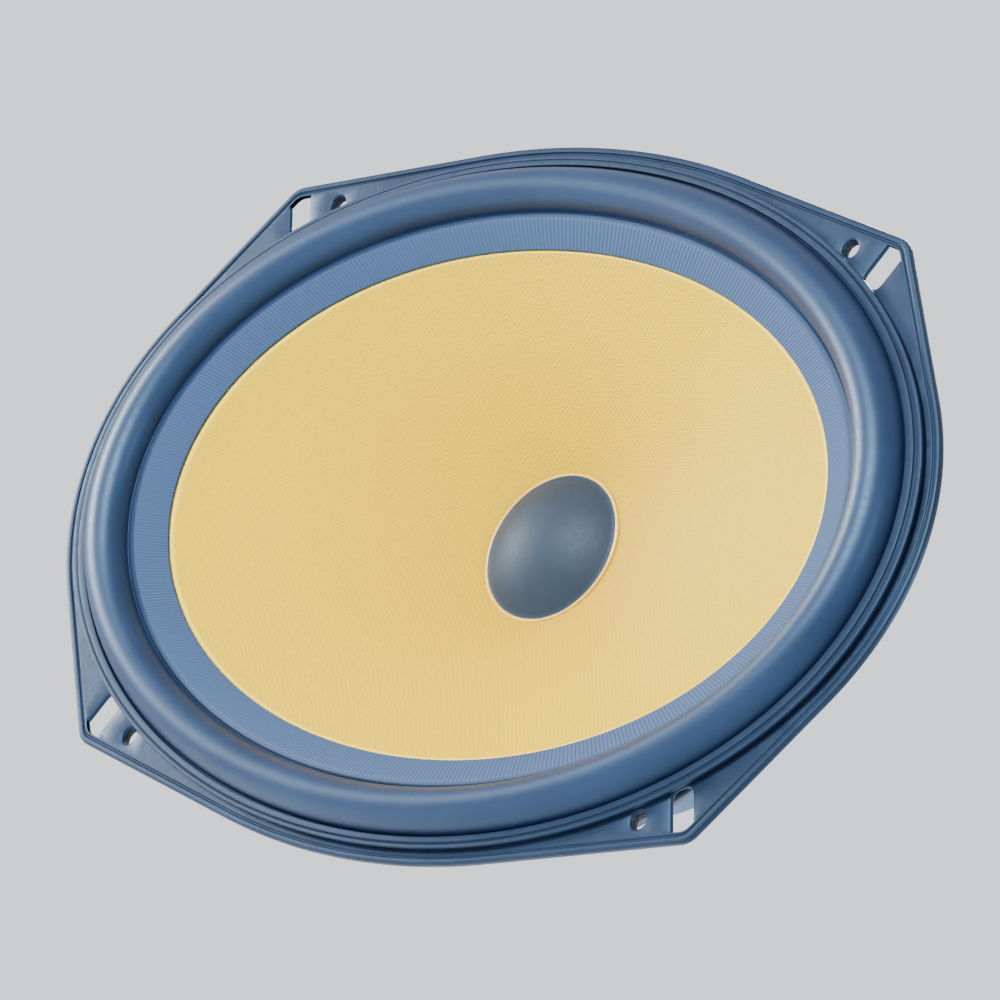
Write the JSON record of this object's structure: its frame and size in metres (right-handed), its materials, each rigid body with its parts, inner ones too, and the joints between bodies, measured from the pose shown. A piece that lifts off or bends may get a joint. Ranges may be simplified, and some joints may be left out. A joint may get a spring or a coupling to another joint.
{
  "type": "oval car speaker",
  "caption": "Oval car woofer: pressed steel basket, rubber half-roll surround, yellow cone with round dust cap, and a ferrite ring motor on the back.",
  "frame": {"origin": "centre of the oval, in the plane where the rear gasket meets the mounting panel", "axes": "-Y is the way the cone faces, X runs along the long axis of the oval and +Z along its short axis, up"},
  "size_m": [0.2354, 0.0868, 0.1628],
  "materials": {
    "basket_paint": "satin dark blue-grey coating on pressed steel",
    "foam": "matt closed-cell foam",
    "ring_rubber": "satin moulded rubber",
    "surround_rubber": "satin rubber",
    "cone_yellow": "matt woven and pressed fibre, yellow",
    "cap_polymer": "satin moulded dome",
    "former_foil": "bright foil",
    "coil_copper": "enamelled copper wire",
    "collar_paper": "brown paper",
    "spider_cloth": "resin-stiffened cotton",
    "plate_steel": "zinc plated",
    "stake_steel": "zinc plated, peened",
    "ferrite": "ground ferrite",
    "bright_plate": "bright plated",
    "badge_plastic": "satin dark disc with fine rings",
    "emblem_metal": "brushed button",
    "board_laminate": "black laminate",
    "terminal_plated": "tin plated brass",
    "rivet_brass": "brass",
    "rivet_steel": "zinc plated",
    "solder": "solder",
    "tinsel_braid": "copper tinsel braid"
  },
  "bodies": {
    "frame": {"basket": "basket_paint", "rear_gasket": "foam", "front_gasket": "ring_rubber", "top_plate": "plate_steel", "top_plate_stakes": "stake_steel", "magnet": "ferrite", "back_plate": "bright_plate", "pole_piece": "plate_steel", "rear_badge": "badge_plastic", "badge_emblem": "emblem_metal", "terminal_board": "board_laminate", "terminal_positive": "terminal_plated", "terminal_negative": "terminal_plated", "terminal_rivets": "rivet_brass", "board_rivet": "rivet_steel"},
    "cone_assembly": {"surround": "surround_rubber", "cone": "cone_yellow", "dust_cap": "cap_polymer", "voice_coil_former": "former_foil", "voice_coil_winding": "coil_copper", "former_collar": "collar_paper", "spider": "spider_cloth", "lead_pad_positive": "solder", "lead_pad_negative": "solder", "tinsel_lead_positive": "tinsel_braid", "tinsel_lead_negative": "tinsel_braid"}
  },
  "joints": [
    {"name": "cone_travel", "type": "slide", "parent": "frame", "child": "cone_assembly", "axis": [0, -1, 0], "range_m": [-0.006, 0.006], "stiffness_N_per_m": 3000, "deforming": ["surround", "spider", "tinsel_lead_positive", "tinsel_lead_negative"]}
  ]
}
